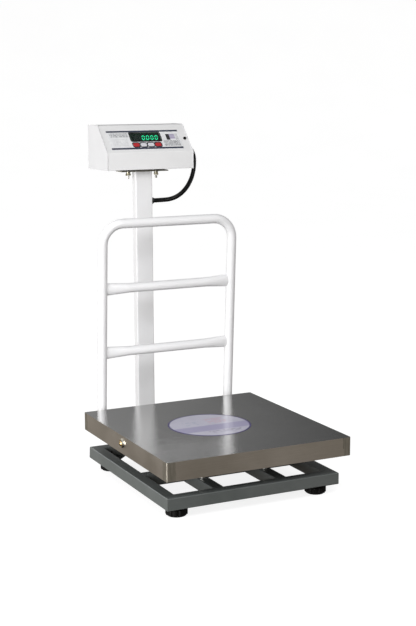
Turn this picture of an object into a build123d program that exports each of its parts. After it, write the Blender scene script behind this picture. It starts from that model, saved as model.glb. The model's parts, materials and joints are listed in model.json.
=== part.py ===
"""Platform shipping scale with a separate indicator on a rear post, in millimetres.

The base frame stands on four levelling feet. One bending-beam load cell joins it to the deck
frame, which carries the stainless pan and the goods guard. The indicator housing hangs over the
rear post on two studs with wing nuts.

Everything is laid out about the middle of the pan, with the floor at z = 0, the front towards -Y.
save() then moves it along Y so that the origin lies under the middle of the whole scale.
"""
from build123d import *
from math import cos, hypot, pi, radians, sin, tan
import os

# ---------------------------------------------------------------- driving dimensions
FIT = 0.05               # radial clearance of a shaft or thread in its hole
GAP = 0.3                # free gap beside a piece that moves
BOLT_GAP = 0.5           # radial clearance of a bolt in a plain hole

TUBE = 30.0              # square tube of both frames
TUBE_WALL = 2.0
BASE_UNDER = 27.0        # height of the base frame's underside over the floor
BASE_W = 470.0           # outer width of the base frame
BASE_FRONT = -235.0      # its front face
BASE_REAR = 268.0        # its rear face
RAIL_X = 87.0            # the two fore-and-aft rails
CROSS_Y = 25.0           # distance of each frame's cross tube from the middle

PAN_W = 500.0
PAN_D = 530.0
PAN_SHEET = 1.5
PAN_SKIRT = 46.5
PAN_CORNER = 4.0
PAN_GAP = 1.0            # between the skirt and the deck frame inside it
PAD = 3.4                # rubber pads between the deck frame and the pan
PAD_SIDE = 26.0
LABEL_R = 107.0
LABEL_THICK = 0.3
LABEL_AT = (-10.0, -2.0)
PAN_SCREW_Y = 2.0
PAN_SCREW_R = 3.0        # M6 shank
PAN_SCREW_LENGTH = 16.0
PAN_CUP_R = 12.0         # cup washer, base and rim
PAN_CUP_RIM_R = 10.5
PAN_CUP_H = 4.5
PAN_CAP_R = 7.0
PAN_CAP_H = 3.0
PAN_SOCKET_AF = 4.0

CELL_L = 150.0           # single-point load cell
CELL_W = 40.0
CELL_H = 40.0
CELL_HOLE_R = 12.0       # the two bores that make its flexures
CELL_HOLE_PITCH = 30.0
CELL_BOLT_INSET = (10.0, 25.0)
CELL_PLATE_W = 60.0
CELL_PLATE_LOW = 10.0    # plate under the fixed end
CELL_PLATE_HIGH = 12.5   # plate over the free end
M8_R = 4.0
M8_HEAD_R = 6.5
M8_HEAD = 8.0
CELL_BOLT_IN = 14.0      # thread length inside the cell

DECK_TRAVEL = 1.0        # the deck sinks this far before the stops meet
STOP_R = 4.0             # M8 overload stops on the base rails
STOP_Y = 120.0
STOP_NUT_H = 6.5
STOP_NUT_AF = 13.0

GUSSET = 62.0            # leg length of the corner gussets
GUSSET_THICK = 4.0
FOOT_BESIDE = 12.5       # stud centre inside the frame's side tubes
FOOT_STUD_R = 5.0        # M10
FOOT_NUT_AF = 17.0
FOOT_NUT_H = 6.0
FOOT_STUD_ABOVE = 12.0   # stud showing over the upper nut
KNOB_R = 27.0
KNOB_H = 14.0
KNOB_LOBES = 12
KNOB_SCALLOP_R = 5.0
KNOB_HUB_R = 12.0
KNOB_HUB_H = 1.0
SOLE_R = 22.0
SOLE_H = 3.0
SOLE_BOSS_R = 6.0
SOLE_BOSS_H = 3.0

GUARD_TUBE_R = 12.7
GUARD_WALL = 1.5
GUARD_LEG_X = 190.0
GUARD_LEG_Y = 287.4      # leg centre level with the pan's top
GUARD_LEAN = 3.3         # degrees, forwards
GUARD_BEND_R = 56.0
GUARD_TOP = 499.5        # top bar's centre above the pan, along the lean
GUARD_BARS = (152.0, 325.5)
FLARE_LENGTH = 75.0
FLARE_HALF_HEIGHT = 17.5
FLARE_HALF_DEPTH = 7.5
GUARD_FOOT_Z = 98.0      # top of the brackets that the legs stand on
BRACKET_W = 36.0
BRACKET_THICK = 5.0
BRACKET_REAR = 20.0      # bracket beyond the leg's centre
SKIRT_CLEAR = 3.0        # bracket's upright in front of the pan's skirt
M6_R = 3.0
M6_HEAD_AF = 10.0
M6_HEAD = 4.0

POST_W = 50.0
POST_D = 25.0
POST_WALL = 1.6
POST_Y = 435.8
POST_TOP = 776.0
ARM_X = 40.0
ARM_BEYOND = 34.0        # arms run on behind the post's centre
FOOT_PLATE_THICK = 5.0
FOOT_PLATE_W = 124.0
FOOT_PLATE_D = 96.0
FOOT_BOLT_Y = 34.0
POST_BOLT_DEPTH = 22.0
M8_WASHER_R = 8.0
M8_HEX_HEAD = 5.3
M8_HEX_AF = 13.0

STRIP_L = 140.0
STRIP_D = 45.0
STRIP_THICK = 3.0
STUD_X = 42.0
STUD_R = 3.0             # M6
STUD_BELOW = 20.0
SPACER_NUT_AF = 10.0
SPACER_NUT_H = 5.0
WASHER_R = 7.0
WASHER_H = 1.6
WING_HUB_R = 5.5
WING_HUB_H = 6.5
WING_SPAN = 21.0
WING_H = 9.5
WING_THICK = 2.4
WINGS_AT = {"left": 28.0, "right": -82.0}    # degrees, as they were last tightened

HOUSING_W = 257.0
HOUSING_SHEET = 1.2
PANEL_THICK = 1.5
PANEL_PROUD = 1.0
FASCIA_H = 47.0
HOUSING_H = 119.0
HOUSING_FRONT = 374.0
RIDGE_BACK = 70.0        # the slanted face runs back this far
HOUSING_D = 140.0
PANEL_SCREW_IN = 9.0
PANEL_SCREW_R = 1.5
PANEL_SCREW_HEAD_R = 3.0
PANEL_SCREW_LENGTH = 8.0
LUG_DEEP = 10.0          # tapped lugs inside the shell's corners
LUG_HALF = 8.0

OVERLAY_X = (-110.0, 103.0)
OVERLAY_V = (10.0, 80.0)     # up the slanted face from its lower edge
OVERLAY_THICK = 0.5
WINDOW_X = (-44.5, 45.5)
WINDOW_V = (40.0, 71.5)
WINDOW_THICK = 1.4
WINDOW_CORNER = 4.0
KEY_W = 18.0
KEY_H = 12.0
KEY_CORNER = 4.5
KEY_V = 27.0
KEY_FIRST_X = -34.5
KEY_PITCH = 21.8
KEY_PROUD = 0.9          # above the overlay
KEY_FLANGE = 1.2
KEY_TRAVEL = 0.5
BOARD_DEEP = 9.0         # front board's face below the slanted face
BOARD_THICK = 1.6
BOARD_X = (-64.0, 64.0)
BOARD_V = (8.0, 78.0)
SWITCH_SIDE = 6.0
DIGIT_W = 12.6
DIGIT_H = 19.0
DIGIT_DEEP = 5.5
DIGITS = 6
DIGIT_PITCH = 12.9
DIGIT_SHIFT = 3.75       # the row sits right of the window's middle
POWER_X = 117.5
POWER_V = 47.0
POWER_R = 4.3
POWER_PROUD = 2.6
POWER_TRAVEL = 2.0
POWER_LENGTH = 9.0
POWER_BODY_R = 7.0
POWER_BODY_L = 22.0

MAIN_BOARD = (66.0, 112.0)
MAIN_BOARD_AT = (12.0, 444.0)
# parts on the main board: (x, y) from its middle, then width, depth and height
BOARD_BLOCKS = [((-5, -1), (18, 18, 3)), ((-22, 29), (8, 22, 9)), ((17, 36), (22, 20, 18))]
CAN_XS = (-22, -10, 2)
CAN_Y = -38
CAN_H = 14.0
CAN_R = 4.0
STANDOFF_H = 10.0
STANDOFF_R = 3.0
BATTERY = (90.0, 62.0, 45.0)
BATTERY_AT = (-68.0, 479.0)
TRANSFORMER = (46.0, 52.0, 40.0)
TRANSFORMER_AT = (90.0, 450.0)
INLET_X = 84.0
INLET_UP = 70.0          # inlet centre above the housing's floor
INLET_FLANGE = (50.0, 24.0, 2.0)
INLET_BODY = (28.0, 20.0, 18.0)
INLET_CAVITY = (24.0, 16.0, 14.0)

CONDUIT_R = 6.5
CONDUIT_BORE_R = 4.6
GLAND_R = 9.0
GLAND_THREAD_R = 6.2
GLAND_OUT = 8.0
GLAND_IN = 7.0
CONDUIT_EXIT_Y = 470.0
CONDUIT_EXIT_UP = 54.0   # above the housing's floor
CONDUIT_ENTRY_DOWN = 83.0    # below the post's top
CABLE_R = 2.5

# ---------------------------------------------------------------- worked-out heights and places
base_top = BASE_UNDER + TUBE
foot_inset = TUBE + FOOT_BESIDE
cell_floor = base_top + CELL_PLATE_LOW
cell_top = cell_floor + CELL_H
deck_under = cell_top + CELL_PLATE_HIGH
deck_top = deck_under + TUBE
pan_under = deck_top + PAD
pan_top = pan_under + PAN_SHEET
skirt_under = pan_top - PAN_SKIRT
deck_x = PAN_W / 2 - PAN_SHEET - PAN_GAP
deck_y = PAN_D / 2 - PAN_SHEET - PAN_GAP
strip_top = POST_TOP + STRIP_THICK
housing_floor = strip_top + SPACER_NUT_H
housing_top = housing_floor + HOUSING_H
housing_rear = HOUSING_FRONT + HOUSING_D
conduit_exit_z = housing_floor + CONDUIT_EXIT_UP
conduit_entry_z = POST_TOP - CONDUIT_ENTRY_DOWN
slant_rise = HOUSING_H - FASCIA_H
slant_length = hypot(RIDGE_BACK, slant_rise)
plate_top = base_top + FOOT_PLATE_THICK
knob_under = SOLE_H + GAP
knob_top = knob_under + KNOB_H
nut_top = BASE_UNDER + GUSSET_THICK + FOOT_NUT_H
scale_front = -PAN_D / 2
scale_rear = housing_rear + INLET_FLANGE[2]
shift_y = -(scale_front + scale_rear) / 2
slant = Plane(
    origin=(0, HOUSING_FRONT, housing_floor + FASCIA_H),
    x_dir=(1, 0, 0),
    z_dir=(0, -slant_rise, RIDGE_BACK),
)
FEET = {
    "front_left": (-BASE_W / 2 + foot_inset, BASE_FRONT + foot_inset),
    "front_right": (BASE_W / 2 - foot_inset, BASE_FRONT + foot_inset),
    "rear_left": (-BASE_W / 2 + foot_inset, BASE_REAR - foot_inset),
    "rear_right": (BASE_W / 2 - foot_inset, BASE_REAR - foot_inset),
}
STUDS = {"left": -STUD_X, "right": STUD_X}

os.makedirs("parts", exist_ok=True)
BOTTOM = (Align.CENTER, Align.CENTER, Align.MIN)
TOP = (Align.CENTER, Align.CENTER, Align.MAX)


# ---------------------------------------------------------------- shared helpers
def save(node, *solids):
    """Write one node as a group of its separate solids, moved to the scale's own origin."""
    bodies = []
    for piece in solids:
        bodies += piece.solids()
    export_step(Compound(children=[Pos(0, shift_y, 0) * b for b in bodies]), f"parts/{node}.step")


def block(x, y, z):
    """A box from three (low, high) pairs."""
    size = [b - a for a, b in (x, y, z)]
    middle = [(a + b) / 2 for a, b in (x, y, z)]
    return Pos(*middle) * Box(*size)


def rod(x, y, low, high, radius):
    return Pos(x, y, low) * Cylinder(radius, high - low, align=BOTTOM)


def cross_rod(x_low, x_high, y, z, radius):
    """A round bar along X."""
    turn = Rot(0, 90, 0)
    return Pos((x_low + x_high) / 2, y, z) * turn * Cylinder(radius, x_high - x_low)


def hexagon(x, y, low, high, across_flats):
    outline = RegularPolygon(across_flats / 2, 6, major_radius=False)
    return Pos(x, y, low) * extrude(outline, high - low)


def outline_prism(points, plane, depth):
    """A prism from a closed outline, depth to both sides of the plane."""
    face = make_face(Polyline(*points, close=True))
    return plane * extrude(face, depth / 2, both=True)


def on_slant(x, v, low, high):
    """A box on the slanted face: x and v are (low, high), low and high measured out of it."""
    return slant * block(x, v, (low, high))


def slant_rod(x, v, low, high, radius):
    return slant * Pos(x, v, low) * Cylinder(radius, high - low, align=BOTTOM)


# ---------------------------------------------------------------- tubes of the two frames
def mitred_tube(length):
    """Square tube along X with 45 degree ends: outer wall on y = 0, the frame's inside at +y."""
    def layer(outer, inner):
        half = length / 2
        points = [(-half + outer, outer), (half - outer, outer), (half - inner, inner),
                  (-half + inner, inner)]
        return make_face(Polyline(*points, close=True))

    skin = extrude(layer(0, TUBE), TUBE)
    core = extrude(layer(TUBE_WALL, TUBE - TUBE_WALL), TUBE - 2 * TUBE_WALL)
    return skin - Pos(0, 0, TUBE_WALL) * core


def straight_tube(x, y, z_low):
    """Open-ended square tube; the longer of x and y is its length."""
    skin = block(x, y, (z_low, z_low + TUBE))
    along_x = x[1] - x[0] > y[1] - y[0]
    inner_x = x if along_x else (x[0] + TUBE_WALL, x[1] - TUBE_WALL)
    inner_y = (y[0] + TUBE_WALL, y[1] - TUBE_WALL) if along_x else y
    return skin - block(inner_x, inner_y, (z_low + TUBE_WALL, z_low + TUBE - TUBE_WALL))


def ring(width, front, rear, z_low):
    """The four mitred tubes of a frame: end tubes (front, rear) and side tubes (left, right)."""
    depth = rear - front
    middle = (front + rear) / 2
    ends = [Pos(0, front, z_low) * mitred_tube(width),
            Pos(0, rear, z_low) * Rot(0, 0, 180) * mitred_tube(width)]
    sides = [Pos(-width / 2, middle, z_low) * Rot(0, 0, -90) * mitred_tube(depth),
             Pos(width / 2, middle, z_low) * Rot(0, 0, 90) * mitred_tube(depth)]
    return ends, sides


def inner_tubes(width, front, rear, cross_middle, z_low):
    """One cross tube between the side tubes, and two rails in front of it and two behind it."""
    half = width / 2 - TUBE
    cross = (cross_middle - TUBE / 2, cross_middle + TUBE / 2)
    tubes = [straight_tube((-half, half), cross, z_low)]
    for x in (-RAIL_X, RAIL_X):
        for span in ((front + TUBE, cross[0]), (cross[1], rear - TUBE)):
            tubes.append(straight_tube((x - TUBE / 2, x + TUBE / 2), span, z_low))
    return tubes


# ---------------------------------------------------------------- base
def make_base():
    ends, sides = ring(BASE_W, BASE_FRONT, BASE_REAR, BASE_UNDER)
    save("base_ring_tubes", *ends, *sides)
    inner = inner_tubes(BASE_W, BASE_FRONT, BASE_REAR, -CROSS_Y, BASE_UNDER)
    stop_holes = [rod(x, y, base_top - 2 * TUBE_WALL, base_top + 1, STOP_R + FIT)
                  for x in (-RAIL_X, RAIL_X) for y in (-STOP_Y, STOP_Y)]
    save("base_inner_tubes", *[tube - stop_holes for tube in inner])

    arm_end = POST_Y + ARM_BEYOND + TUBE / 2
    arms = []
    for x in (-ARM_X, ARM_X):
        arm = straight_tube((x - TUBE / 2, x + TUBE / 2), (BASE_REAR, arm_end), BASE_UNDER)
        for y in (-FOOT_BOLT_Y, FOOT_BOLT_Y):
            arm -= rod(x, POST_Y + y, base_top - 2 * TUBE_WALL, base_top + 1, M8_R + FIT)
        arms.append(arm)
    save("post_arms", *arms)


def make_gussets_and_nuts():
    gussets, nuts = [], []
    leg = GUSSET
    for x, y in FEET.values():
        sx = 1 if x < 0 else -1
        sy = 1 if y < 0 else -1
        corner_x = x - sx * FOOT_BESIDE
        corner_y = y - sy * FOOT_BESIDE
        points = [(corner_x, corner_y), (corner_x + sx * leg, corner_y),
                  (corner_x, corner_y + sy * leg)]
        plate = extrude(make_face(Polyline(*points, close=True)), GUSSET_THICK, dir=(0, 0, 1))
        plate = Pos(0, 0, BASE_UNDER) * plate
        gussets.append(plate - rod(x, y, 0, base_top, FOOT_STUD_R + BOLT_GAP))
        for low in (BASE_UNDER - FOOT_NUT_H, BASE_UNDER + GUSSET_THICK):
            nut = hexagon(x, y, low, low + FOOT_NUT_H, FOOT_NUT_AF)
            nuts.append(nut - rod(x, y, 0, base_top, FOOT_STUD_R + FIT))
    save("corner_gussets", *gussets)
    save("foot_nuts", *nuts)


def make_feet():
    """A knurled knob moulded on its stud, over a sole that stays still while the knob turns."""
    for name, (x, y) in FEET.items():
        sole = rod(x, y, 0, SOLE_H, SOLE_R) + rod(x, y, SOLE_H, SOLE_H + SOLE_BOSS_H, SOLE_BOSS_R)
        save(f"foot_sole_{name}", sole)

        knob = rod(0, 0, knob_under, knob_top, KNOB_R)
        for i in range(KNOB_LOBES):
            turn = radians(360 * (i + 0.5) / KNOB_LOBES)
            reach = KNOB_R + 0.55 * KNOB_SCALLOP_R
            knob -= rod(reach * cos(turn), reach * sin(turn), 0, knob_top + 1, KNOB_SCALLOP_R)
        knob += rod(0, 0, knob_top, knob_top + KNOB_HUB_H, KNOB_HUB_R)
        knob += rod(0, 0, knob_top, nut_top + FOOT_STUD_ABOVE, FOOT_STUD_R)
        knob -= rod(0, 0, 0, SOLE_H + SOLE_BOSS_H + GAP, SOLE_BOSS_R + FIT)
        save(f"foot_screw_{name}", Pos(x, y, 0) * knob)


def make_stops():
    """Four set screws on the rails, each with its nut; the deck meets them when overloaded."""
    stop_top = deck_under - DECK_TRAVEL - GAP
    stops = []
    for x in (-RAIL_X, RAIL_X):
        for y in (-STOP_Y, STOP_Y):
            screw = rod(x, y, base_top - TUBE_WALL - 3, stop_top, STOP_R)
            stops.append(screw + hexagon(x, y, base_top, base_top + STOP_NUT_H, STOP_NUT_AF))
    save("overload_stops", *stops)


# ---------------------------------------------------------------- load cell
def cell_bolts(y_sign, head_z, up):
    """The pair of cap screws of one end; up is +1 when they point up into the cell."""
    bolts = []
    for inset in CELL_BOLT_INSET:
        y = y_sign * (CELL_L / 2 - inset)
        tip = cell_floor + CELL_BOLT_IN if up > 0 else cell_top - CELL_BOLT_IN
        low, high = sorted((head_z, tip))
        bolt = rod(0, y, low, high, M8_R)
        head_low, head_high = sorted((head_z, head_z - up * M8_HEAD))
        head = rod(0, y, head_low, head_high, M8_HEAD_R)
        socket_low, socket_high = sorted((head_z - up * M8_HEAD, head_z - up * M8_HEAD / 2))
        bolts.append(bolt + head - hexagon(0, y, socket_low, socket_high, 6.0))
    return bolts


def make_load_cell():
    cell = block((-CELL_W / 2, CELL_W / 2), (-CELL_L / 2, CELL_L / 2), (cell_floor, cell_top))
    middle = (cell_floor + cell_top) / 2
    for y in (-CELL_HOLE_PITCH / 2, CELL_HOLE_PITCH / 2):
        cell -= cross_rod(-CELL_W, CELL_W, y, middle, CELL_HOLE_R)
    cell -= block((-CELL_W, CELL_W), (-CELL_HOLE_PITCH / 2, CELL_HOLE_PITCH / 2),
                  (middle - CELL_HOLE_R / 2, middle + CELL_HOLE_R / 2))
    for inset in CELL_BOLT_INSET:
        y = CELL_L / 2 - inset
        cell -= rod(0, -y, cell_floor - 1, cell_floor + CELL_BOLT_IN + 2, M8_R + FIT)
        cell -= rod(0, y, cell_top - CELL_BOLT_IN - 2, cell_top + 1, M8_R + FIT)
    save("load_cell", cell)

    inner_end = CROSS_Y - TUBE / 2
    low_plate = block((-CELL_PLATE_W / 2, CELL_PLATE_W / 2), (-CELL_L / 2, -inner_end),
                      (base_top, cell_floor))
    high_plate = block((-CELL_PLATE_W / 2, CELL_PLATE_W / 2), (inner_end, CELL_L / 2),
                       (cell_top, deck_under))
    for inset in CELL_BOLT_INSET:
        y = CELL_L / 2 - inset
        low_plate -= rod(0, -y, 0, cell_top, M8_R + BOLT_GAP)
        high_plate -= rod(0, y, cell_top - 1, pan_top, M8_R + BOLT_GAP)
    save("load_cell_lower_plate", low_plate)
    save("load_cell_upper_plate", high_plate)
    save("load_cell_lower_bolts", *cell_bolts(-1, base_top, 1))
    save("load_cell_upper_bolts", *cell_bolts(1, deck_under, -1))


# ---------------------------------------------------------------- deck, pan and guard
def pan_screws():
    """Screws with a cup washer through the skirt into the deck's side tubes."""
    z = (deck_under + deck_top) / 2
    head = Cone(PAN_CUP_R, PAN_CUP_RIM_R, PAN_CUP_H, align=BOTTOM)
    head += Pos(0, 0, PAN_CUP_H) * Cone(PAN_CAP_R, PAN_CAP_R / 2, PAN_CAP_H, align=BOTTOM)
    head -= Pos(0, 0, PAN_CUP_H + PAN_CAP_H / 2) * extrude(
        RegularPolygon(PAN_SOCKET_AF / 2, 6, major_radius=False), PAN_CAP_H)
    head += Cylinder(PAN_SCREW_R, PAN_SCREW_LENGTH, align=TOP)
    right = Pos(PAN_W / 2, PAN_SCREW_Y, z) * Rot(0, 90, 0) * head
    left = Pos(-PAN_W / 2, PAN_SCREW_Y, z) * Rot(0, -90, 0) * head
    return [left, right]


def make_deck():
    ends, sides = ring(2 * deck_x, -deck_y, deck_y, deck_under)
    z = (deck_under + deck_top) / 2
    hole = cross_rod(-PAN_W, PAN_W, PAN_SCREW_Y, z, PAN_SCREW_R + FIT)
    keep = block((-deck_x + 2 * TUBE_WALL, deck_x - 2 * TUBE_WALL), (-deck_y, deck_y), (0, pan_top))
    hole -= keep
    bolt_y = deck_y - TUBE / 2
    drills = [rod(x, bolt_y, deck_under - 1, deck_under + 2 * TUBE_WALL, M6_R + FIT)
              for x in bracket_bolt_xs()]
    ends = [tube - drills for tube in ends]
    save("deck_ring_tubes", *ends, *[tube - hole for tube in sides])
    save("deck_inner_tubes", *inner_tubes(2 * deck_x, -deck_y, deck_y, CROSS_Y, deck_under))

    pads = []
    reach_x = deck_x - TUBE / 2
    reach_y = deck_y - TUBE / 2
    for x in (-reach_x, -RAIL_X, RAIL_X, reach_x):
        for y in (-reach_y, reach_y):
            pads.append(rod_pad(x, y))
    for x in (-RAIL_X, RAIL_X):
        for y in (-STOP_Y, STOP_Y):
            pads.append(rod_pad(x, y))
    save("deck_pads", *pads)


def rod_pad(x, y):
    half = PAD_SIDE / 2
    return block((x - half, x + half), (y - half, y + half), (deck_top, pan_under))


def make_pan():
    body = extrude(RectangleRounded(PAN_W, PAN_D, PAN_CORNER), PAN_SKIRT)
    inner = RectangleRounded(PAN_W - 2 * PAN_SHEET, PAN_D - 2 * PAN_SHEET, PAN_CORNER - PAN_SHEET)
    body = Pos(0, 0, skirt_under) * (body - extrude(inner, PAN_SKIRT - PAN_SHEET))
    z = (deck_under + deck_top) / 2
    body -= cross_rod(-PAN_W, PAN_W, PAN_SCREW_Y, z, PAN_SCREW_R + BOLT_GAP)
    save("pan", body)
    save("pan_side_screws", *pan_screws())
    save("pan_label", Pos(*LABEL_AT, pan_top) * Cylinder(LABEL_R, LABEL_THICK, align=BOTTOM))


def lean(shape):
    """From the guard's own upright plane (x across, z up from the pan's top) to its place."""
    return Pos(0, GUARD_LEG_Y, pan_top) * Rot(GUARD_LEAN, 0, 0) * shape


def bracket_bolt_xs():
    offset = BRACKET_W / 2 - 8
    return [side * GUARD_LEG_X + d for side in (-1, 1) for d in (-offset, offset)]


def flared_bar(height, inset):
    """A round bar across the guard, squeezed to a tall ellipse at both legs; inset draws its bore."""
    half = GUARD_LEG_X - FLARE_LENGTH
    squeezed = Ellipse(FLARE_HALF_DEPTH - inset, FLARE_HALF_HEIGHT - inset)
    round_end = Circle(GUARD_TUBE_R - inset)
    stations = [(-GUARD_LEG_X, squeezed), (-half, round_end), (half, round_end), (GUARD_LEG_X, squeezed)]
    sections = [Plane(origin=(x, 0, height), x_dir=(0, 1, 0), z_dir=(1, 0, 0)) * face
                for x, face in stations]
    return loft(sections, ruled=True)


def make_guard():
    below = pan_top - GUARD_FOOT_Z + 20
    path = FilletPolyline(
        (-GUARD_LEG_X, 0, -below), (-GUARD_LEG_X, 0, GUARD_TOP), (GUARD_LEG_X, 0, GUARD_TOP),
        (GUARD_LEG_X, 0, -below), radius=GUARD_BEND_R)
    start = Plane(origin=path @ 0, z_dir=path % 0)
    skin = sweep(start * Circle(GUARD_TUBE_R), path=path)
    bore = sweep(start * Circle(GUARD_TUBE_R - GUARD_WALL), path=path)
    hoop = lean(skin - bore)
    hoop -= block((-PAN_W, PAN_W), (0, 2 * PAN_D), (0, GUARD_FOOT_Z))
    save("guard_hoop", hoop)

    bars = []
    upright_legs = [rod(x, 0, -below, GUARD_TOP, GUARD_TUBE_R) for x in (-GUARD_LEG_X, GUARD_LEG_X)]
    for height in GUARD_BARS:
        bar = flared_bar(height, 0) - flared_bar(height, GUARD_WALL)
        bars.append(lean(bar - upright_legs))
    save("guard_cross_bars", *bars)

    leg_y = GUARD_LEG_Y + (pan_top - GUARD_FOOT_Z) * tan(radians(GUARD_LEAN))
    rear = leg_y + BRACKET_REAR
    upright = PAN_D / 2 - PAN_SHEET - PAN_GAP - SKIRT_CLEAR
    low = GUARD_FOOT_Z - BRACKET_THICK
    profile = [(deck_y - TUBE, deck_under), (upright, deck_under), (upright, GUARD_FOOT_Z),
               (rear, GUARD_FOOT_Z), (rear, low), (upright - BRACKET_THICK, low),
               (upright - BRACKET_THICK, deck_under - BRACKET_THICK),
               (deck_y - TUBE, deck_under - BRACKET_THICK)]
    bolt_y = deck_y - TUBE / 2
    brackets, bolts = [], []
    for x in (-GUARD_LEG_X, GUARD_LEG_X):
        bracket = outline_prism(profile, Plane.YZ.offset(x), BRACKET_W)
        for bolt_x in bracket_bolt_xs():
            bracket -= rod(bolt_x, bolt_y, 0, deck_top, M6_R + BOLT_GAP)
        brackets.append(bracket)
    for x in bracket_bolt_xs():
        under = deck_under - BRACKET_THICK
        bolt = hexagon(x, bolt_y, under - M6_HEAD, under, M6_HEAD_AF)
        bolts.append(bolt + rod(x, bolt_y, under, deck_under + 10, M6_R))
    save("guard_brackets", *brackets)
    save("guard_bolts", *bolts)


# ---------------------------------------------------------------- post and its strip
def make_post():
    post = block((-POST_W / 2, POST_W / 2), (POST_Y - POST_D / 2, POST_Y + POST_D / 2),
                 (plate_top, POST_TOP))
    inner_w = POST_W / 2 - POST_WALL
    inner_d = POST_D / 2 - POST_WALL
    post -= block((-inner_w, inner_w), (POST_Y - inner_d, POST_Y + inner_d),
                  (plate_top - 1, POST_TOP + 1))
    post -= cross_rod(0, POST_W, POST_Y, conduit_entry_z, GLAND_THREAD_R + FIT)

    plate = block((-FOOT_PLATE_W / 2, FOOT_PLATE_W / 2),
                  (POST_Y - FOOT_PLATE_D / 2, POST_Y + FOOT_PLATE_D / 2), (base_top, plate_top))
    plate -= rod(0, POST_Y, 0, plate_top + 1, CABLE_R + 2)
    bolts = []
    for x in (-ARM_X, ARM_X):
        for dy in (-FOOT_BOLT_Y, FOOT_BOLT_Y):
            y = POST_Y + dy
            plate -= rod(x, y, 0, plate_top + 1, M8_R + BOLT_GAP)
            head_low = plate_top + WASHER_H
            bolt = rod(x, y, plate_top - POST_BOLT_DEPTH, head_low, M8_R)
            bolt += rod(x, y, plate_top, head_low, M8_WASHER_R)
            bolts.append(bolt + hexagon(x, y, head_low, head_low + M8_HEX_HEAD, M8_HEX_AF))
    save("post", post + plate)
    save("post_foot_bolts", *bolts)

    strip = block((-STRIP_L / 2, STRIP_L / 2), (POST_Y - STRIP_D / 2, POST_Y + STRIP_D / 2),
                  (POST_TOP, strip_top))
    studs, nuts = [], []
    for x in STUDS.values():
        strip -= rod(x, POST_Y, 0, strip_top + 1, STUD_R + BOLT_GAP)
        head_low = housing_floor + HOUSING_SHEET
        stud = rod(x, POST_Y, POST_TOP - STUD_BELOW, head_low, STUD_R)
        studs.append(stud + hexagon(x, POST_Y, head_low, head_low + M6_HEAD, M6_HEAD_AF))
        nut = hexagon(x, POST_Y, strip_top, housing_floor, SPACER_NUT_AF)
        nuts.append(nut - rod(x, POST_Y, 0, housing_top, STUD_R + FIT))
    save("top_strip", strip)
    save("strip_studs", *studs)
    save("strip_spacer_nuts", *nuts)


def make_wing_nuts():
    for name, x in STUDS.items():
        hole = rod(x, POST_Y, 0, housing_top, STUD_R + FIT)
        top = POST_TOP - GAP
        washer = rod(x, POST_Y, top - WASHER_H, top, WASHER_R)
        save(f"wing_washer_{name}", washer - rod(x, POST_Y, 0, housing_top, STUD_R + 0.2))
        top -= WASHER_H + GAP
        nut = rod(x, POST_Y, top - WING_HUB_H, top, WING_HUB_R)
        half = WING_SPAN / 2
        wing = [(STUD_R, -1.0), (STUD_R, -WING_HUB_H), (half - 3, -WING_H), (half, -WING_H + 1),
                (half, -WING_H + 4), (WING_HUB_R, -1.0)]
        for side in (-1, 1):
            points = [(side * px, pz) for px, pz in wing]
            nut += Pos(x, POST_Y, top) * Rot(0, 0, WINGS_AT[name]) * outline_prism(
                points, Plane.XZ, WING_THICK)
        save(f"wing_nut_{name}", nut - hole)


# ---------------------------------------------------------------- indicator housing
def housing_outline(inset=0.0):
    """Side outline in (y, z), drawn inwards by inset."""
    points = [(HOUSING_FRONT, housing_floor), (housing_rear, housing_floor),
              (housing_rear, housing_top), (HOUSING_FRONT + RIDGE_BACK, housing_top),
              (HOUSING_FRONT, housing_floor + FASCIA_H)]
    face = make_face(Polyline(*points, close=True))
    return offset(face, amount=-inset, kind=Kind.INTERSECTION) if inset else face


def housing_prism(inset, x_low, x_high):
    turned = Plane.YZ.offset(x_low) * housing_outline(inset)
    return extrude(turned, x_high - x_low, dir=(1, 0, 0))


def panel_screw_places():
    """(y, z) of the four screws that hold each end panel."""
    near = HOUSING_FRONT + PANEL_SCREW_IN
    far = housing_rear - PANEL_SCREW_IN
    low = housing_floor + PANEL_SCREW_IN
    high = housing_top - PANEL_SCREW_IN
    return [(near, low), (far, low), (far, high), (HOUSING_FRONT + RIDGE_BACK + 4, high)]


def key_places():
    return [KEY_FIRST_X + i * KEY_PITCH for i in range(4)]


def key_hole(x, low, high, gap):
    shape = RectangleRounded(KEY_W + 2 * gap, KEY_H + 2 * gap, KEY_CORNER + gap)
    return slant * Pos(x, KEY_V, low) * extrude(shape, high - low)


def window_prism(low, high, gap):
    width = WINDOW_X[1] - WINDOW_X[0] + 2 * gap
    height = WINDOW_V[1] - WINDOW_V[0] + 2 * gap
    middle = (sum(WINDOW_X) / 2, sum(WINDOW_V) / 2)
    shape = extrude(RectangleRounded(width, height, WINDOW_CORNER + gap), high - low)
    return slant * Pos(*middle, low) * shape


def flush_screw():
    """A countersunk screw under z = 0 whose head fills the end panel's thickness."""
    head = Cone(PANEL_SCREW_R, PANEL_SCREW_HEAD_R, PANEL_THICK, align=TOP)
    return head + Cylinder(PANEL_SCREW_R, PANEL_SCREW_LENGTH, align=TOP)


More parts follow.
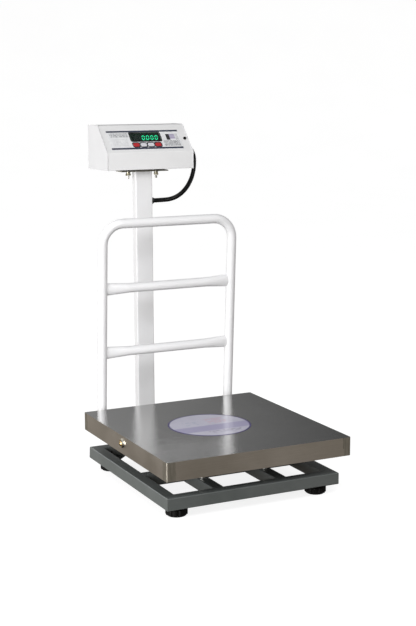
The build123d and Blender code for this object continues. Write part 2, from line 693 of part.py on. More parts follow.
def make_housing():
    x_in = HOUSING_W / 2 - PANEL_THICK
    shell = housing_prism(0, -x_in, x_in) - housing_prism(HOUSING_SHEET, -HOUSING_W, HOUSING_W)
    shell -= window_prism(-2 * HOUSING_SHEET, 1, 0.1)
    for x in key_places():
        shell -= key_hole(x, -2 * HOUSING_SHEET, 1, GAP)
    shell -= slant_rod(POWER_X, POWER_V, -2 * HOUSING_SHEET, 1, POWER_R + GAP)
    for x in STUDS.values():
        shell -= rod(x, POST_Y, 0, housing_floor + 2 * HOUSING_SHEET, STUD_R + BOLT_GAP)
    cut = [size / 2 + 0.2 for size in INLET_BODY[:2]]
    inlet_z = housing_floor + INLET_UP
    shell -= block((INLET_X - cut[0], INLET_X + cut[0]), (housing_rear - 5, housing_rear + 5),
                   (inlet_z - cut[1], inlet_z + cut[1]))

    screws = []
    for side in (-1, 1):
        outer = side * HOUSING_W / 2
        low, high = sorted((side * x_in, outer))
        panel = housing_prism(-PANEL_PROUD, low, high)
        for y, z in panel_screw_places():
            screw = Plane(origin=(outer, y, z), x_dir=(0, 1, 0), z_dir=(side, 0, 0)) * flush_screw()
            panel -= screw
            screws.append(screw)
            lug_low, lug_high = sorted((side * (x_in - LUG_DEEP), side * x_in))
            lug = block((lug_low, lug_high), (y - LUG_HALF, y + LUG_HALF), (z - LUG_HALF, z + LUG_HALF))
            lug &= housing_prism(HOUSING_SHEET, lug_low, lug_high)
            shell += lug - cross_rod(lug_low - 1, lug_high + 1, y, z, PANEL_SCREW_R + FIT)
        if side > 0:
            panel -= cross_rod(low - 1, high + 1, CONDUIT_EXIT_Y, conduit_exit_z, GLAND_THREAD_R + FIT)
        save("end_panel_left" if side < 0 else "end_panel_right", panel)
    save("end_panel_screws", *screws)
    save("housing_shell", shell)


def make_fascia():
    overlay = on_slant(OVERLAY_X, OVERLAY_V, 0, OVERLAY_THICK)
    overlay -= window_prism(-1, 1, 0.1)
    for x in key_places():
        overlay -= key_hole(x, -1, 1, GAP)
    save("fascia_overlay", overlay)
    save("display_window", window_prism(OVERLAY_THICK - WINDOW_THICK, OVERLAY_THICK - 0.1, 0))

    for i, x in enumerate(key_places(), start=1):
        cap = key_hole(x, -HOUSING_SHEET - GAP - KEY_FLANGE, OVERLAY_THICK + KEY_PROUD, 0)
        rim = HOUSING_SHEET + GAP
        cap += key_hole(x, -rim - KEY_FLANGE, -rim, 1.2)
        save(f"key_{i}", cap)

    board = on_slant(BOARD_X, BOARD_V, -BOARD_DEEP - BOARD_THICK, -BOARD_DEEP)
    key_under = HOUSING_SHEET + GAP + KEY_FLANGE
    for x in key_places():
        half = SWITCH_SIDE / 2
        top = -key_under - KEY_TRAVEL - 0.1
        board += on_slant((x - half, x + half), (KEY_V - half, KEY_V + half), -BOARD_DEEP, top)
    save("front_board", board)

    digits = []
    v_middle = sum(WINDOW_V) / 2
    for i in range(DIGITS):
        x = sum(WINDOW_X) / 2 + DIGIT_SHIFT + (i - (DIGITS - 1) / 2) * DIGIT_PITCH
        digits.append(on_slant((x - DIGIT_W / 2, x + DIGIT_W / 2),
                               (v_middle - DIGIT_H / 2, v_middle + DIGIT_H / 2),
                               -BOARD_DEEP, -BOARD_DEEP + DIGIT_DEEP))
    save("display_digits", *digits)


def make_power_switch():
    """A push button guided by its threaded body, clamped behind the slanted face."""
    button = slant_rod(POWER_X, POWER_V, POWER_PROUD - POWER_LENGTH, POWER_PROUD, POWER_R)
    save("power_button", button)
    body = slant_rod(POWER_X, POWER_V, -HOUSING_SHEET - POWER_BODY_L, -HOUSING_SHEET, POWER_BODY_R)
    body -= slant_rod(POWER_X, POWER_V, POWER_PROUD - POWER_LENGTH - POWER_TRAVEL - GAP, 1,
                      POWER_R + FIT)
    save("power_switch_body", body)


def make_electronics():
    inside = housing_floor + HOUSING_SHEET
    x, y = MAIN_BOARD_AT
    w, d = MAIN_BOARD
    board_z = inside + STANDOFF_H
    board = block((x - w / 2, x + w / 2), (y - d / 2, y + d / 2), (board_z, board_z + BOARD_THICK))
    chip_z = board_z + BOARD_THICK
    for (cx, cy), (cw, cd, ch) in BOARD_BLOCKS:
        board += block((x + cx - cw / 2, x + cx + cw / 2), (y + cy - cd / 2, y + cy + cd / 2),
                       (chip_z, chip_z + ch))
    for cx in CAN_XS:
        board += rod(x + cx, y + CAN_Y, chip_z, chip_z + CAN_H, CAN_R)
    save("main_board", board)

    posts = []
    for sx in (-1, 1):
        for sy in (-1, 1):
            posts.append(rod(x + sx * (w / 2 - 5), y + sy * (d / 2 - 5), inside, board_z, STANDOFF_R))
    for px in (BOARD_X[0] + 4, BOARD_X[1] - 4):
        for v in (BOARD_V[0] + 4, BOARD_V[1] - 4):
            posts.append(slant_rod(px, v, -BOARD_DEEP, -HOUSING_SHEET, STANDOFF_R))
    save("board_standoffs", *posts)

    w, d, h = BATTERY
    x, y = BATTERY_AT
    battery = block((x - w / 2, x + w / 2), (y - d / 2, y + d / 2), (inside, inside + h))
    for dx in (-w / 2 + 8, -w / 2 + 24):
        battery += block((x + dx - 2.4, x + dx + 2.4), (y - d / 2 + 6, y - d / 2 + 6.8),
                         (inside + h, inside + h + 6))
    save("battery", battery)

    w, d, h = TRANSFORMER
    x, y = TRANSFORMER_AT
    core = block((x - w / 2, x + w / 2), (y - d / 4, y + d / 4), (inside, inside + h))
    coil = block((x - w / 3, x + w / 3), (y - d / 2, y + d / 2), (inside + h / 5, inside + h * 0.8))
    save("transformer", core + coil)

    z = housing_floor + INLET_UP
    fw, fh, ft = INLET_FLANGE
    bw, bh, bd = INLET_BODY
    cw, ch, cd = INLET_CAVITY
    rear = housing_rear
    inlet = block((INLET_X - fw / 2, INLET_X + fw / 2), (rear, rear + ft), (z - fh / 2, z + fh / 2))
    inlet += block((INLET_X - bw / 2, INLET_X + bw / 2), (rear - bd, rear), (z - bh / 2, z + bh / 2))
    inlet -= block((INLET_X - cw / 2, INLET_X + cw / 2), (rear + ft - cd, rear + ft + 1),
                   (z - ch / 2, z + ch / 2))
    for px, pz in ((-7, -2), (0, 2), (7, -2)):
        inlet += block((INLET_X + px - 1, INLET_X + px + 1), (rear + ft - cd, rear + ft - 3),
                       (z + pz - 2, z + pz + 2))
    save("mains_inlet", inlet)


# ---------------------------------------------------------------- conduit and load cell cable
def fillet_radii(points):
    """Largest smooth arc at each corner: 0.45 of its shorter run over tan(half the turn)."""
    radii = []
    for a, b, c in zip(points, points[1:], points[2:]):
        before = Vector(*b) - Vector(*a)
        after = Vector(*c) - Vector(*b)
        half = radians(before.get_angle(after)) / 2
        radii.append(0.45 * min(before.length, after.length) / tan(half))
    return radii


def tube_along(points, radius, radii, bore=0.0):
    path = FilletPolyline(*points, radius=radii)
    start = Plane(origin=path @ 0, z_dir=path % 0)
    solid = sweep(start * Circle(radius), path=path)
    area = pi * radius ** 2
    if bore:
        solid -= sweep(start * Circle(bore), path=path)
        area -= pi * bore ** 2
    print(f"tube: length {path.length:.1f}, radii {[round(r, 1) for r in radii]},",
          f"volume {solid.volume:.0f} against {area * path.length:.0f}")
    return solid


def gland(x, side, y, z):
    """Nut-shaped connector on a wall at x; side is the way it points out."""
    body = Plane(origin=(x, y, z), x_dir=(0, 1, 0), z_dir=(side, 0, 0))
    nut = extrude(RegularPolygon(GLAND_R, 6, major_radius=False), 0.6 * GLAND_OUT)
    nut += Cylinder(GLAND_R - 0.6, GLAND_OUT, align=BOTTOM)
    nut += Cylinder(GLAND_THREAD_R, GLAND_IN, align=TOP)
    nut -= Cylinder(CONDUIT_BORE_R, 4 * GLAND_OUT)
    return body * nut


def make_conduit():
    panel_x = HOUSING_W / 2
    post_x = POST_W / 2
    y0, z0 = CONDUIT_EXIT_Y, conduit_exit_z
    y1, z1 = POST_Y, conduit_entry_z
    glands = [gland(panel_x, 1, y0, z0), gland(post_x, 1, y1, z1)]
    save("conduit_glands", *glands)
    # each point: X, share of the way from the housing's gland to the post's gland in Y, and Z
    route = [
        (panel_x + GLAND_OUT, 0.0, z0),
        (150.0, 0.0, z0),
        (163.0, 0.03, z0 - 4),
        (172.0, 0.06, z0 - 16),
        (175.5, 0.12, z0 - 36),
        (171.0, 0.25, z0 - 67),
        (160.0, 0.40, z0 - 93),
        (142.5, 0.56, z0 - 116),
        (119.0, 0.74, z0 - 133.5),
        (91.0, 0.90, z0 - 143.5),
        (61.0, 1.0, z1),
        (post_x + GLAND_OUT, 1.0, z1),
    ]
    points = [(x, y0 + (y1 - y0) * share, z) for x, share, z in route]
    solid = tube_along(points, CONDUIT_R, fillet_radii(points), CONDUIT_BORE_R)
    save("signal_conduit", solid)


def make_cell_cable():
    """From the cell's fixed end over the base frame, through the foot plate and up the post."""
    side = CELL_W / 2
    lane = RAIL_X - TUBE / 2 - 8
    low = BASE_UNDER + TUBE / 2
    over = base_top + CABLE_R + 0.5
    y0 = -CELL_L / 2 + 18
    z0 = (cell_floor + cell_top) / 2
    points = [
        (side, y0, z0),
        (lane, y0, z0),
        (lane, y0, over),
        (lane, BASE_REAR + 22, over),
        (0, BASE_REAR + 22, over),
        (0, BASE_REAR + 22, low),
        (0, POST_Y, low),
        (0, POST_Y, conduit_entry_z),
        (POST_W / 2 - GLAND_IN - 1, POST_Y, conduit_entry_z),
    ]
    bends = [12.0, 7.0, 12.0, 12.0, 5.5, 5.5, 15.0, 8.0]
    save("load_cell_cable", tube_along(points, CABLE_R, bends[:len(points) - 2]))


make_base()
make_gussets_and_nuts()
make_feet()
make_stops()
make_load_cell()
make_deck()
make_pan()
make_guard()
make_post()
make_wing_nuts()
make_housing()
make_fascia()
make_power_switch()
make_electronics()
make_conduit()
make_cell_cable()
print("shift_y", shift_y, "pan top", pan_top, "housing top", housing_top)
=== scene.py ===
# %% [markdown]
# # A platform shipping scale
#
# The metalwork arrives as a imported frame: every tube, plate and fastener is already in its real
# place. This lesson gives those pieces the small radii that folded sheet and drawn tube have,
# builds what a plain solid can't show, such as a ribbed conduit and lit digits, and mixes the
# finishes: brushed stainless steel, stove enamel, powder coat, moulded plastic and printed film.

# %% Load the frame
import bmesh
import bpy
import json
from math import atan2, cos, pi, radians, sin
from mathutils import Matrix, Vector

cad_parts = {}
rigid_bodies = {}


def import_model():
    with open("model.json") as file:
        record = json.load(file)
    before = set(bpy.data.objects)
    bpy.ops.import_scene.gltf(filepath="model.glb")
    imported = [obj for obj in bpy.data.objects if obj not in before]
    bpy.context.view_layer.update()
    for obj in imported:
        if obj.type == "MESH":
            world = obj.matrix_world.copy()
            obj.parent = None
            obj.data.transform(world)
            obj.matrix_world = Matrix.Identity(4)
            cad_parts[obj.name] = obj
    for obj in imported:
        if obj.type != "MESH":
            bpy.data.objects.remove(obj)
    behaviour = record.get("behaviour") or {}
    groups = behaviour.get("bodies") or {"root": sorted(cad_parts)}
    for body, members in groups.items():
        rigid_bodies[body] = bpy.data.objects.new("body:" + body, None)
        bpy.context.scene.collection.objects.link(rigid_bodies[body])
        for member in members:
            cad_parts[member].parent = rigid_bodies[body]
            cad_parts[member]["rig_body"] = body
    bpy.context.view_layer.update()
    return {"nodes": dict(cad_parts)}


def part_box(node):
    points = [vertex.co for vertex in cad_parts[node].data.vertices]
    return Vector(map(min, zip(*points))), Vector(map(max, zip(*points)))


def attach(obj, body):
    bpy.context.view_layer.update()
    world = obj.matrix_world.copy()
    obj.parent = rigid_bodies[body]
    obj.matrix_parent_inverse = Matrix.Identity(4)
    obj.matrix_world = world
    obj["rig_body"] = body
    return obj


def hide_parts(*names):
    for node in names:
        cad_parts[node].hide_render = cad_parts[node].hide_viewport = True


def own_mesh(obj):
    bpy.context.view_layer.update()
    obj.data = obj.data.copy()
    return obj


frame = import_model()
nodes = frame["nodes"]
MM = 0.001

# %% [markdown]
# ## Camera
#
# A long lens from the front left, a little above the indicator, is how such a scale is usually
# catalogued. The position is measured from the middle of the pan, and the pan's middle is read
# from the frame, so the camera follows the model.

# %% Camera
pan_low, pan_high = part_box("pan")
pan_middle = (pan_low + pan_high) / 2
CAMERA_FROM_PAN = (-1.44098, -2.90139)
CAMERA_HEIGHT = 1.01818
YAW, PITCH, ROLL = radians(26.22), radians(10.05), radians(-0.19)
FOCAL_LENGTH = 74.85        # millimetres
SENSOR_WIDTH = 36           # millimetres
FARTHEST_SEEN = 60          # metres


def camera_axes():
    forward = Vector((sin(YAW) * cos(PITCH), cos(YAW) * cos(PITCH), -sin(PITCH)))
    right = Vector((cos(YAW), -sin(YAW), 0))
    up = right.cross(forward)
    return (right * cos(ROLL) + up * sin(ROLL), up * cos(ROLL) - right * sin(ROLL), forward)


lens = bpy.data.cameras.new("camera")
lens.lens = FOCAL_LENGTH
lens.sensor_width = SENSOR_WIDTH
lens.clip_end = FARTHEST_SEEN
camera = bpy.data.objects.new("camera", lens)
right, up, forward = camera_axes()
turn = Matrix((right, up, -forward)).transposed().to_4x4()
place = Vector((pan_middle.x + CAMERA_FROM_PAN[0], pan_middle.y + CAMERA_FROM_PAN[1],
                CAMERA_HEIGHT))
camera.matrix_world = Matrix.Translation(place) @ turn
bpy.context.scene.collection.objects.link(camera)
bpy.context.scene.camera = camera
print("camera at", [round(v, 3) for v in place])

# %% [markdown]
# ## Working with shader sockets
#
# A finish is a small calculation: coordinates go in, a colour, a roughness and a bump come out.
# Writing it with nodes by hand is slow to read, so one class wraps an output socket and lets
# Python's own operators add the Math nodes. A second class holds one material and makes every
# other node through a single method.

# %% Socket wrapper
class Wire:
    """One output socket. Arithmetic on it adds Math nodes and gives a new Wire."""

    def __init__(self, maker, socket):
        self.maker = maker
        self.socket = socket

    def math(self, operation, *values):
        return self.maker.node("ShaderNodeMath", values, operation=operation)

    def __add__(self, other):
        return self.math("ADD", self, other)

    def __radd__(self, other):
        return self.math("ADD", other, self)

    def __sub__(self, other):
        return self.math("SUBTRACT", self, other)

    def __rsub__(self, other):
        return self.math("SUBTRACT", other, self)

    def __mul__(self, other):
        return self.math("MULTIPLY", self, other)

    def __rmul__(self, other):
        return self.math("MULTIPLY", other, self)

    def __truediv__(self, other):
        return self.math("DIVIDE", self, other)

    def __gt__(self, other):
        return self.math("GREATER_THAN", self, other)

    def __lt__(self, other):
        return self.math("LESS_THAN", self, other)

    def __abs__(self):
        return self.math("ABSOLUTE", self)

    def fraction(self):
        return self.math("FRACT", self)

    def whole(self):
        return self.math("FLOOR", self)

    def root(self):
        return self.math("SQRT", self)

    def at_least(self, low):
        return self.math("MAXIMUM", self, low)

    def between(self, low, high):
        return (self > low) * (self < high)

    def rise(self, low, high):
        """0 below low, 1 above high, straight between."""
        return self.maker.node("ShaderNodeMapRange", {0: self, 1: low, 2: high, 3: 0.0, 4: 1.0})


# %% [markdown]
# Every node is made by `node()`: it takes the kind of node, its inputs and its settings, and gives
# back one output. An input may be a plain value or a wire. A Finish is one such tree, for one
# material, and it remembers the surface that everything ends in.

# %% Node maker
def with_alpha(value):
    """Three numbers become an opaque colour; anything else stays as it is."""
    return (*value, 1.0) if isinstance(value, tuple) and len(value) == 3 else value


class NodeTree:
    """Adds nodes to one tree; node() makes any kind, and the rest are the few used often."""

    def __init__(self, tree):
        self.tree = tree

    def node(self, kind, inputs=(), output=0, stops=None, **settings):
        node = self.tree.nodes.new(kind)
        for name, value in settings.items():
            setattr(node, name, value)
        if stops:
            ramp = node.color_ramp.elements
            while len(ramp) < len(stops):
                ramp.new(0.5)
            for element, (position, colour) in zip(ramp, stops):
                element.position = position
                element.color = colour
        pairs = inputs.items() if isinstance(inputs, dict) else enumerate(inputs)
        for key, value in pairs:
            self.join(node.inputs[key], value)
        return Wire(self, node.outputs[output])

    def join(self, socket, value):
        if isinstance(value, Wire):
            self.tree.links.new(value.socket, socket)
        else:
            socket.default_value = value

    def coordinates(self):
        return self.node("ShaderNodeTexCoord", output=3)

    def axes(self, vector=None):
        """The x, y and z of a vector, or of the object's own coordinates."""
        vector = vector or self.coordinates()
        split = self.node("ShaderNodeSeparateXYZ", [vector])
        return [Wire(self, out) for out in split.socket.node.outputs]

    def pack(self, x, y, z=0.0):
        return self.node("ShaderNodeCombineXYZ", [x, y, z])

    def noise(self, stretch=(1, 1, 1), scale=100.0, detail=3.0, roughness=0.5):
        """Noise in metres; stretch squeezes its grain along each axis."""
        place = self.node("ShaderNodeMapping", {0: self.coordinates(), 3: stretch})
        return self.node("ShaderNodeTexNoise", {"Vector": place, "Scale": scale, "Detail": detail,
                                                "Roughness": roughness})

    def mix(self, factor, first, second):
        """A colour between two; a colour is a wire or three numbers."""
        first, second = [with_alpha(colour) for colour in (first, second)]
        return self.node("ShaderNodeMix", {0: factor, 6: first, 7: second}, output=2,
                         data_type="RGBA")


class Finish(NodeTree):
    """One Principled material; set() drives one socket of its surface."""

    def __init__(self, name, **surface):
        self.material = bpy.data.materials.new(name)
        self.material.use_nodes = True
        super().__init__(self.material.node_tree)
        self.surface = self.tree.nodes["Principled BSDF"]
        for socket, value in surface.items():
            self.set(socket.replace("_", " "), value)

    def set(self, socket, value):
        self.join(self.surface.inputs[socket], with_alpha(value))

    def bump(self, height, depth):
        """Raise the surface by up to depth metres where height is 1."""
        self.set("Normal", self.node("ShaderNodeBump", {"Height": height, "Distance": depth,
                                                        "Strength": 1.0}))


print("shader helpers ready")

# %% [markdown]
# ## Brushed stainless steel
#
# A belt sander leaves thousands of fine parallel scratches. A reflection stays sharp along them
# and smears across them. Noise squeezed hard along one axis gives the scratches, and it drives the
# colour, the roughness and a very shallow bump together. The pan's top and its skirts are brushed
# from side to side, and the corners were welded and ground the other way: a band beside each
# corner has upright scratches and is darker. Along the fold the sheet is stretched and rougher,
# and it is coloured almost black as painted shade for the dark line along the rounded rim.

# %% Stainless
STEEL = (0.56, 0.56, 0.555)
STEEL_DARK = (0.44, 0.44, 0.435)
# The skirts' warm brown tint, which the top of the same sheet lacks, is a painted reflection of the
# warm, dim room near the horizon.
SKIRT_WARM_REFLECTION = (0.62, 0.57, 0.51)
SKIRT_DARK_WARM_REFLECTION = (0.49, 0.45, 0.395)
GROUND_CORNER = (0.24, 0.23, 0.18)
# The fold's two near-black tones are painted shade: they stand in for the dark line along the pan's
# rounded rim.
PAINTED_FOLD_SHADE = (0.045, 0.043, 0.038)
PAINTED_FOLD_SHADE_DEEP = (0.020, 0.020, 0.017)
CORNER_BAND = 0.022         # metres, how far the grinding reaches from a corner


def brushed_top():
    f = Finish("stainless_top", Metallic=1.0, Roughness=0.15)
    streak = f.noise((1.0, 70, 70), scale=20, detail=6, roughness=0.65)
    cloud = f.noise(scale=5, detail=2)
    shade = (streak * 0.7 + cloud * 0.3).rise(0.34, 0.66)
    f.set("Base Color", f.mix(shade, STEEL_DARK, STEEL))
    f.set("Roughness", shade * 0.06 + 0.085)
    f.bump(streak, 0.00012)
    return f.material


def brushed_skirt():
    f = Finish("stainless_skirt", Metallic=1.0, Roughness=0.36)
    streak = f.noise((1.5, 1.5, 90), scale=16, detail=6, roughness=0.6)
    cloud = f.noise(scale=9, detail=3)
    shade = (streak * 0.45 + cloud * 0.55).rise(0.36, 0.64)
    # The warm tint in these skirt tones is painted reflection.
    steel = f.mix(shade, SKIRT_DARK_WARM_REFLECTION, SKIRT_WARM_REFLECTION)
    x, y, z = f.axes()
    wander = f.noise((40, 40, 12), scale=3, detail=3) * 0.012 - 0.006
    side = abs(x - pan_middle.x) + wander
    end = abs(y - pan_middle.y) + wander
    corner = ((side > (pan_high.x - pan_low.x) / 2 - CORNER_BAND)
              * (end > (pan_high.y - pan_low.y) / 2 - CORNER_BAND))
    ground = f.mix(f.noise((200, 200, 6), scale=6).rise(0.3, 0.7), GROUND_CORNER, SKIRT_DARK_WARM_REFLECTION)
    f.set("Base Color", f.mix(corner * 0.9, steel, ground))
    f.set("Roughness", shade * 0.10 + corner * 0.08 + 0.30)
    f.bump(streak, 0.00004)
    return f.material


# Painted shade: the fold is coloured near black to stand in for the dark line along the rounded rim.
def painted_shade_rim():
    f = Finish("stainless_fold_painted_shade", Metallic=1.0, Roughness=0.34)
    f.set("Base Color", f.mix(f.noise(scale=50, detail=3).rise(0.35, 0.65), PAINTED_FOLD_SHADE_DEEP, PAINTED_FOLD_SHADE))
    return f.material


STAINLESS_TOP = brushed_top()
STAINLESS_SKIRT = brushed_skirt()
STAINLESS_FOLD_SHADED = painted_shade_rim()
print("stainless", STAINLESS_TOP.name, STAINLESS_SKIRT.name, STAINLESS_FOLD_SHADED.name)

# %% [markdown]
# ## Paints
#
# Stove enamel on a welded frame is never quite flat: it is slightly pebbled, and a little thinner
# and lighter where a cloth rubs it. Powder coat has a finer orange-peel texture. One function
# makes both: a larger pebble number gives finer pebbles, and depth is their height in metres.

# %% Paint
def paint(name, colour, darker, pebble, depth, roughness, coat=0.0):
    f = Finish(name, Roughness=roughness, Coat_Weight=coat, Coat_Roughness=0.25)
    peel = f.noise(scale=pebble, detail=2)
    wash = f.noise(scale=7, detail=4, roughness=0.6)
    f.set("Base Color", f.mix(wash.rise(0.35, 0.65), darker, colour))
    f.set("Roughness", peel * 0.08 + (roughness - 0.04))
    f.bump(peel, depth)
    return f.material


HAMMER_GREY = paint("hammer_grey", (0.112, 0.122, 0.119), (0.090, 0.100, 0.097),
                    pebble=900, depth=0.00010, roughness=0.40, coat=0.12)
WHITE_PAINT = paint("white_paint", (0.77, 0.77, 0.78), (0.74, 0.74, 0.75),
                    pebble=1500, depth=0.00004, roughness=0.34, coat=0.2)
HOUSING_PAINT = paint("housing_paint", (0.71, 0.71, 0.715), (0.68, 0.68, 0.685),
                      pebble=2600, depth=0.00006, roughness=0.5)
PANEL_PAINT = paint("panel_paint", (0.66, 0.66, 0.67), (0.63, 0.63, 0.64),
                    pebble=2600, depth=0.00005, roughness=0.48)
print("paints", HAMMER_GREY.name, WHITE_PAINT.name, HOUSING_PAINT.name)

# %% [markdown]
# ## Plated steel, aluminium and black parts
#
# Plated fasteners are bright but cloudy, so their roughness wanders. Moulded black parts reflect
# only a little, and rubber even less; a fine grain keeps both from looking like a hole.

# %% Small metal and moulded finishes
def plated(name, light, dark, roughness, grain=60):
    f = Finish(name, Metallic=1.0, Roughness=roughness)
    cloud = f.noise(scale=grain, detail=4, roughness=0.6)
    shade = cloud.rise(0.35, 0.65)
    f.set("Base Color", f.mix(shade, dark, light))
    f.set("Roughness", shade * 0.14 + (roughness - 0.07))
    f.bump(f.noise(scale=1800, detail=2), 0.00002)
    return f.material


def moulded(name, colour, roughness, depth=0.00004, shine=0.5):
    f = Finish(name, Roughness=roughness, Specular_IOR_Level=shine)
    speckle = f.noise(scale=1400, detail=2)
    lighter = tuple(min(1.0, c * 1.35 + 0.0015) for c in colour)
    f.set("Base Color", f.mix(speckle.rise(0.3, 0.7), colour, lighter))
    f.set("Roughness", speckle * 0.12 + (roughness - 0.06))
    f.bump(speckle, depth)
    return f.material


ZINC = plated("zinc", (0.62, 0.61, 0.58), (0.42, 0.41, 0.38), 0.34)
BRIGHT = plated("bright_zinc", (0.88, 0.86, 0.78), (0.62, 0.60, 0.52), 0.16)
WING_STEEL = plated("wing_steel", (0.50, 0.47, 0.37), (0.26, 0.24, 0.17), 0.36)
STRIP_STEEL = plated("strip_steel", (0.34, 0.33, 0.28), (0.17, 0.165, 0.14), 0.38, 25)
DARK_STEEL = plated("dark_steel", (0.08, 0.078, 0.07), (0.03, 0.03, 0.028), 0.45)
CELL_METAL = plated("cell_aluminium", (0.80, 0.81, 0.83), (0.68, 0.69, 0.71), 0.3)
BRASS = plated("brass", (0.62, 0.47, 0.25), (0.44, 0.32, 0.15), 0.32)
CORE_STEEL = plated("transformer_steel", (0.20, 0.19, 0.18), (0.09, 0.085, 0.08), 0.5)
RUBBER = moulded("rubber_black", (0.008, 0.008, 0.008), 0.72, shine=0.25)
KNOB = moulded("knob_black", (0.003, 0.003, 0.003), 0.48, shine=0.2)
PLASTIC = moulded("black_plastic", (0.010, 0.010, 0.011), 0.38)
CABLE = moulded("cable_black", (0.014, 0.014, 0.015), 0.45)
BATTERY = moulded("battery_case", (0.05, 0.05, 0.06), 0.4)
KEY_RED = moulded("key_red", (0.34, 0.008, 0.012), 0.30, depth=0.00001)
KEY_WHITE = moulded("key_white", (0.50, 0.50, 0.53), 0.32, depth=0.00001)
print("plated and moulded finishes ready")

# %% [markdown]
# ## Soft edges
#
# No real edge is perfectly sharp: drawn tube has a corner radius of a couple of millimetres and
# folded sheet bends round its own thickness. The frame's solids come as loose triangles with sharp
# edges. This step copies one, welds its doubles, joins flat triangles into whole faces and bevels
# only the edges where two faces meet at a real angle. The copy then stands for the frame's node.
#
# Smooth shading would tilt the light on a large flat face towards the small round beside it, so
# the border between the two is kept as a crease. The flat face then reflects like a flat face.

# %% Soft-edged copies
SHARP = radians(32)         # faces that meet at more than this show an edge


def as_piece(name, bm, material, body, stands_for=()):
    """Turn a bmesh into a finished piece that rides on a body."""
    for face in bm.faces:
        face.smooth = True
    for edge in bm.edges:
        if edge.calc_face_angle(pi) > SHARP:
            edge.smooth = False
    mesh = bpy.data.meshes.new(name)
    bm.to_mesh(mesh)
    bm.free()
    piece = bpy.data.objects.new(name, mesh)
    bpy.context.scene.collection.objects.link(piece)
    for entry in material if isinstance(material, list) else [material]:
        mesh.materials.append(entry)
    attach(piece, body)
    if stands_for:
        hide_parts(*stands_for)
    return piece


def merged_copy(node):
    bm = bmesh.new()
    bm.from_mesh(nodes[node].data)
    for edge in bm.edges:
        edge.smooth = True
    bmesh.ops.remove_doubles(bm, verts=bm.verts, dist=1e-6)
    bmesh.ops.dissolve_limit(bm, angle_limit=radians(0.5), verts=bm.verts, edges=bm.edges)
    return bm


def real_edges(bm, shortest):
    """Outward edges that are sharp and at least that long, in metres."""
    found = []
    for edge in bm.edges:
        if len(edge.link_faces) != 2 or edge.calc_length() < shortest:
            continue
        if edge.calc_face_angle_signed(0.0) > SHARP:
            found.append(edge)
    return found


def bevel(bm, edges, width, segments):
    """Round edges, keep a crease along each border of the rounds, and give the new faces."""
    made = set(bmesh.ops.bevel(bm, geom=edges, offset=width, offset_type="OFFSET", affect="EDGES",
                               segments=segments, profile=0.5, clamp_overlap=True, material=-1)["faces"])
    for edge in bm.edges:
        if sum(face in made for face in edge.link_faces) == 1:
            edge.smooth = False
    return made


def soften(node, material, width=0.4, segments=2, shortest=0.0):
    """A soft-edged copy of a node; width and shortest are in millimetres."""
    bm = merged_copy(node)
    edges = real_edges(bm, shortest * MM)
    bevel(bm, edges, width * MM, segments)
    return as_piece(node + "_soft", bm, material, nodes[node]["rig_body"], [node])


def give_material(node, material):
    """Keep the frame's own mesh and only change its material."""
    nodes[node].data.materials.clear()
    nodes[node].data.materials.append(material)


TUBE_CORNER = 2.2           # millimetres, the outer corner radius of square tube
for node in ("base_ring_tubes", "base_inner_tubes", "post_arms"):
    soften(node, HAMMER_GREY, TUBE_CORNER, 3, shortest=120)
for node in ("deck_ring_tubes", "deck_inner_tubes"):
    soften(node, HAMMER_GREY, TUBE_CORNER, 2, shortest=120)
soften("corner_gussets", HAMMER_GREY, 0.5)
print("frame tubes softened")

# %% [markdown]
# ## Guard, post and brackets
#
# The guard is one bent tube with two cross bars whose ends were squeezed before welding. The bend
# and the squeeze are already in the frame, so these pieces only need their edges softened and
# their white powder coat. The post's four long corners get the radius of drawn tube.

# %% Guard and post
soften("guard_hoop", WHITE_PAINT, 0.3, 1)
soften("guard_cross_bars", WHITE_PAINT, 0.3, 1)
soften("guard_brackets", WHITE_PAINT, 0.6)
soften("post", WHITE_PAINT, 2.4, 3, shortest=200)
soften("top_strip", STRIP_STEEL, 0.5)
print("guard and post ready")

# %% [markdown]
# ## The pan
#
# The pan is folded from one sheet, so its rim is rounded along every side, and its corners are
# welded. Three materials share the piece: the rounded faces that still look up a little are the
# fold, flat faces that look straight up are the top, and the rest are the skirts. The side screws
# have a brass-coloured cap in a bright cup, told apart by how far a face is from the screw's axis.

# %% Pan
PAN_EDGE_SHORTEST = 0.2     # metres; only the long folds are rounded
PAN_FOLD_RADIUS = 2.4 * MM
TOP, SKIRTS, RIM = 0, 1, 2  # the order of the pan's materials


def make_pan():
    bm = merged_copy("pan")
    rim = [e for e in real_edges(bm, PAN_EDGE_SHORTEST) if abs(e.calc_face_angle(0) - pi / 2) < 0.2]
    rounds = bevel(bm, rim, PAN_FOLD_RADIUS, 4)
    bm.normal_update()
    for face in bm.faces:
        # Rounded faces that still look up get the fold material, which is coloured near black as painted
        # shade.
        if face in rounds and face.normal.z > 0.1:
            face.material_index = RIM
        elif face.normal.z > 0.985:
            face.material_index = TOP
        else:
            face.material_index = SKIRTS
    finishes = [STAINLESS_TOP, STAINLESS_SKIRT, STAINLESS_FOLD_SHADED]
    return as_piece("pan_brushed", bm, finishes, "deck", ["pan"])


pan = make_pan()
screws = soften("pan_side_screws", [BRIGHT, BRASS], 0.4)
screw_low, screw_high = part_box("pan_side_screws")
screw_axis = (screw_low + screw_high) / 2
CAP_RADIUS = 0.0072         # metres
for face in screws.data.polygons:
    away = face.center - screw_axis
    face.material_index = 1 if (away.y ** 2 + away.z ** 2) ** 0.5 < CAP_RADIUS else 0
for part, index in (("top", TOP), ("skirts", SKIRTS), ("rim", RIM)):
    print("pan faces", part, sum(face.material_index == index for face in pan.data.polygons))

# %% [markdown]
# ## Feet
#
# Each levelling foot is a moulded knob with a lobed rim for the fingers, on a rubber sole. The
# lobes' edges are rounded where the mould parts.

# %% Feet
for corner in ("front_left", "front_right", "rear_left", "rear_right"):
    soften("foot_screw_" + corner, KNOB, 1.2, 2)
    soften("foot_sole_" + corner, RUBBER, 0.5)
print("feet ready")

# %% [markdown]
# ## Indicator housing
#
# The housing is a folded shell between two end plates. Its long folds have a radius; the end plates
# stand a millimetre proud, and their cut edges catch the light as a thin bright line.

